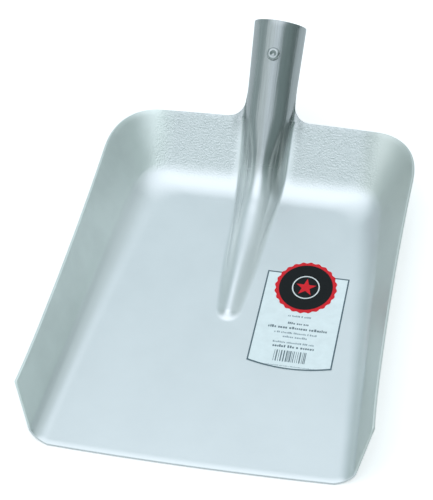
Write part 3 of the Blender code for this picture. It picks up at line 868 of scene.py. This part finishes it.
def prism(bm, outline, low, high):
    bottom = [bm.verts.new(place((x, y, low))) for x, y in outline]
    top = [bm.verts.new(place((x, y, high))) for x, y in outline]
    count = len(outline)
    bm.faces.new(top)
    bm.faces.new(bottom[::-1])
    for k in range(count):
        n = (k + 1) % count
        bm.faces.new([bottom[k], bottom[n], top[n], top[k]])


def flat_piece(outlines, low, high, name, material, slot):
    bm = bmesh.new()
    for outline in outlines:
        prism(bm, outline, low, high)
    bmesh.ops.recalc_face_normals(bm, faces=bm.faces)
    return add_object(bm, name, material, slot, smooth=False)


def band(outer, inner, low, high, name, material, slot):
    """Closed band between two outlines with the same number of points."""
    bm = bmesh.new()
    rings = [[bm.verts.new(place((x, y, z))) for x, y in line]
             for line, z in ((outer, low), (outer, high), (inner, high), (inner, low))]
    count = len(outer)
    for one, two in zip(rings, rings[1:] + rings[:1]):
        for k in range(count):
            n = (k + 1) % count
            bm.faces.new([one[k], one[n], two[n], two[k]])
    bmesh.ops.recalc_face_normals(bm, faces=bm.faces)
    return add_object(bm, name, material, slot, smooth=False)


def label_outline(inset=0.0, steps=24):
    """Outline from the lower left corner round to the upper left one."""
    left, right = LABEL_X - LABEL_W / 2 + inset, LABEL_X + LABEL_W / 2 - inset
    top, low = LABEL_Y + LABEL_H / 2 - inset, LABEL_Y - LABEL_H / 2 + inset
    line = []
    for k in range(steps + 1):
        t = k / steps
        line.append((left + (right - left) * t, low - LABEL_BOW * (1 - (2 * t - 1) ** 2)))
    return line + [(right, top), (left, top)]


def oval(radii, steps, teeth=0, tooth=0.0):
    line = []
    for k in range(steps):
        turn = 2 * math.pi * k / steps
        r = 1 + tooth * math.cos(turn * teeth)
        line.append((SEAL_X + radii[0] * r * math.cos(turn),
                     SEAL_Y + radii[1] * r * math.sin(turn)))
    return line


def bar(x0, x1, y0, y1):
    return [(x0, y0), (x1, y0), (x1, y1), (x0, y1)]


def label_marks():
    """Outlines of the thin and of the bold marks: rows of uneven bars, and upright bars."""
    rng = random.Random(7)
    marks = {"thin": [], "bold": []}
    for y, half, height, weight in PRINT_ROWS:
        x = LABEL_X - half
        while x < LABEL_X + half:
            width = height * rng.uniform(0.35, 0.65)
            tall = height * rng.choice((0.7, 0.7, 1.0))
            marks[weight].append(bar(x, x + width, y, y + tall))
            x += width + height * rng.choice((0.15, 0.2, 0.25, 0.25, 0.7))
    x = LABEL_X - BARCODE_HALF
    while x < LABEL_X + BARCODE_HALF - 1:
        width = rng.choice((0.35, 0.6, 0.9))
        marks["bold"].append(bar(x, x + width, *BARCODE_Y))
        x += width + rng.choice((0.4, 0.7, 1.1))
    return marks["thin"], marks["bold"]


def make_label():
    """Film, its border and its print. Returns the film."""
    film = plain("label film", (0.92, 0.985, 1.0), 0.4)
    border = plain("label border", (0.09, 0.14, 0.17), 0.4)
    ink = plain("label small print", (0.30, 0.37, 0.41), 0.5)
    dark = plain("label bold print", (0.14, 0.19, 0.22), 0.5)
    sheet = flat_piece([label_outline()], FILM_UNDER, FILM_Z, "label_film", film, "label_film")
    band(label_outline(), label_outline(LABEL_BORDER), FILM_Z, FILM_Z + BORDER_THICK,
         "label_border", border, "label_film")
    thin, bold = label_marks()
    print_z = FILM_Z + PRINT_THICK
    flat_piece(thin, FILM_Z, print_z, "label_small_print", ink, "label_film")
    flat_piece(bold, FILM_Z, print_z, "label_bold_print", dark, "label_film")
    return sheet


def make_seal():
    """Scalloped red rim, black centre, and a star in a ring. Returns the rim."""
    red = plain("seal red", (0.82, 0.010, 0.022), 0.4, shine=0.25)
    black = plain("seal black", (0.004, 0.006, 0.007), 0.5, shine=0.2, mottle=0.1)
    white = plain("seal white", (0.85, 0.87, 0.87), 0.35)
    scallops = oval(SEAL_OUT, SEAL_TEETH * 8, SEAL_TEETH, TOOTH)
    rim = flat_piece([scallops], SEAL_Z, SEAL_TOP, "seal_rim", red, "seal_paper")
    flat_piece([oval(SEAL_BLACK, 96)], SEAL_TOP, SEAL_TOP + INK, "seal_centre", black,
               "seal_paper")
    low, high = SEAL_TOP + INK, SEAL_TOP + 2 * INK
    band(oval(RING_OUT, 64), oval(RING_IN, 64), low, high, "seal_ring", white, "seal_paper")
    star = []
    for k in range(10):
        turn = math.pi / 2 + math.pi * k / 5
        r = STAR[k % 2]
        star.append((SEAL_X + r * math.cos(turn), SEAL_Y + r * STAR_LONGER * math.sin(turn)))
    flat_piece([star], low, high, "seal_star", red, "seal_paper")
    return rim


# ---- build -------------------------------------------------------------------------------

sheet = aluminium("bare aluminium", (0.80, 0.82, 0.825), 0.34, peel=1.0, grain=0.35)
blade = make_blade(sheet)
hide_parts("blade")
sleeve = make_sleeve(aluminium("sleeve aluminium", (0.70, 0.73, 0.74), 0.42, peel=0, grain=0.2))
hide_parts("socket_sleeve")
rivet = make_rivet(aluminium("rivet aluminium", (0.84, 0.86, 0.86), 0.28, peel=0, grain=0.1))
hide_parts("socket_rivet")
label = make_label()
seal = make_seal()
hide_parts("label")
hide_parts("seal_sticker")

# ---- floor, light, camera ------------------------------------------------------------------

TABLE_HALF = 6.0                 # metres
TABLE_Z = -0.0002
TABLE_COLOUR = (0.9, 0.9, 0.9)
TABLE_GLOW = 0.45                # the table is lit to the eye, plain to the metal
TABLE_GLOW_COLOUR = (1, 0.97, 0.96)
OVERHEAD_PLACE = (-0.3, -0.1, 1.9)   # metres; it points at the origin
OVERHEAD_SIZE = 1.4
OVERHEAD_POWER = 1.5
CAMERA_PLACE = (207.8, -739.06, 1005.3)      # working frame
CAMERA_YAW = math.radians(13.65)
CAMERA_PITCH = math.radians(45.97)           # below level
CAMERA_ROLL = math.radians(-3.18)
CAMERA_LENS = 129.65
SURROUND = (0.37, 0.47, 0.475)
WORLD_LOBES = (                              # direction, cosines, radiance
    ((0.80, 0.60, 0.30), (0.62, 0.97), (0.46, 0.56, 0.575)),      # right, behind
    ((-0.25, 0.9, 0.72), (0.60, 0.98), (0.62, 0.75, 0.80)),       # behind the blade
    ((0.62, 0.62, 0.66), (0.90, 0.98), (0.60, 0.71, 0.735)),      # higher up on the right
    ((0.74, 0.66, -0.05), (0.88, 0.98), (0.42, 0.51, 0.525)),     # and low down
    ((-0.06, -0.80, 0.60), (0.88, 0.98), (0.82, 0.965, 1.01)),    # front panel
    ((-0.08, -0.05, 1.0), (0.67, 0.88), (1.05, 1.17, 1.26)),      # overhead
    ((-0.55, -0.52, 0.66), (0.90, 0.98), (0.88, 1.00, 1.03)),     # front left
    ((-1.00, 0.10, 0.05), (0.75, 0.95), (0.47, 0.585, 0.595)),    # low left
    ((0.80, -0.42, 0.46), (0.78, 0.93), (0.28, 0.37, 0.37)),      # dark right front
    ((1.00, 0.08, 0.05), (0.84, 0.97), (0.21, 0.275, 0.275)),     # dark low right
)


def make_floor():
    material, nodes, shader = new_material("studio floor")
    shader.inputs["Base Color"].default_value = (*TABLE_COLOUR, 1)
    shader.inputs["Roughness"].default_value = 0.9
    shader.inputs["Specular IOR Level"].default_value = 0.1
    shader.inputs["Emission Color"].default_value = (*TABLE_GLOW_COLOUR, 1)
    to_the_eye = nodes.add("ShaderNodeLightPath").outputs["Is Camera Ray"]
    nodes.feed(nodes.product(to_the_eye, TABLE_GLOW), shader.inputs["Emission Strength"])
    bm = bmesh.new()
    bm.faces.new([bm.verts.new((x * TABLE_HALF, y * TABLE_HALF, TABLE_Z))
                  for x, y in ((-1, -1), (1, -1), (1, 1), (-1, 1))])
    floor = add_object(bm, "studio_floor", material)


def make_world():
    """Soft studio surround, bright overhead and behind, darkest at the right front."""
    world = bpy.data.worlds.new("studio")
    bpy.context.scene.world = world
    world.use_nodes = True
    nodes = Nodes(world.node_tree)
    way = nodes.add("ShaderNodeTexCoord").outputs["Generated"]
    tone = SURROUND
    for direction, cosines, radiance in WORLD_LOBES:
        dot = nodes.add("ShaderNodeVectorMath", operation="DOT_PRODUCT")
        dot.inputs[1].default_value = Vector(direction).normalized()
        nodes.feed(way, dot.inputs[0])
        tone = nodes.mixed(tone, radiance, nodes.ramp(dot.outputs["Value"], cosines))
    nodes.feed(tone, world.node_tree.nodes["Background"].inputs["Color"])


def make_overhead():
    """One broad soft light above the blade."""
    data = bpy.data.lights.new("overhead", "AREA")
    data.shape = "SQUARE"
    data.size = OVERHEAD_SIZE
    data.energy = OVERHEAD_POWER
    obj = bpy.data.objects.new("overhead", data)
    bpy.context.scene.collection.objects.link(obj)
    obj.rotation_euler = (-Vector(OVERHEAD_PLACE)).to_track_quat("-Z", "Y").to_euler()
    obj.location = OVERHEAD_PLACE


def make_camera():
    data = bpy.data.cameras.new("camera")
    data.sensor_width = 36.0
    data.sensor_fit = "AUTO"
    data.lens = CAMERA_LENS
    obj = bpy.data.objects.new("camera", data)
    bpy.context.scene.collection.objects.link(obj)
    turn = (Matrix.Rotation(CAMERA_YAW, 4, "Z")
            @ Matrix.Rotation(math.pi / 2 - CAMERA_PITCH, 4, "X")
            @ Matrix.Rotation(CAMERA_ROLL, 4, "Z"))
    obj.matrix_world = Matrix.Translation(place(CAMERA_PLACE)) @ turn
    bpy.context.scene.camera = obj


make_floor()
make_world()
make_overhead()
make_camera()
bpy.context.scene.view_settings.view_transform = "Standard"
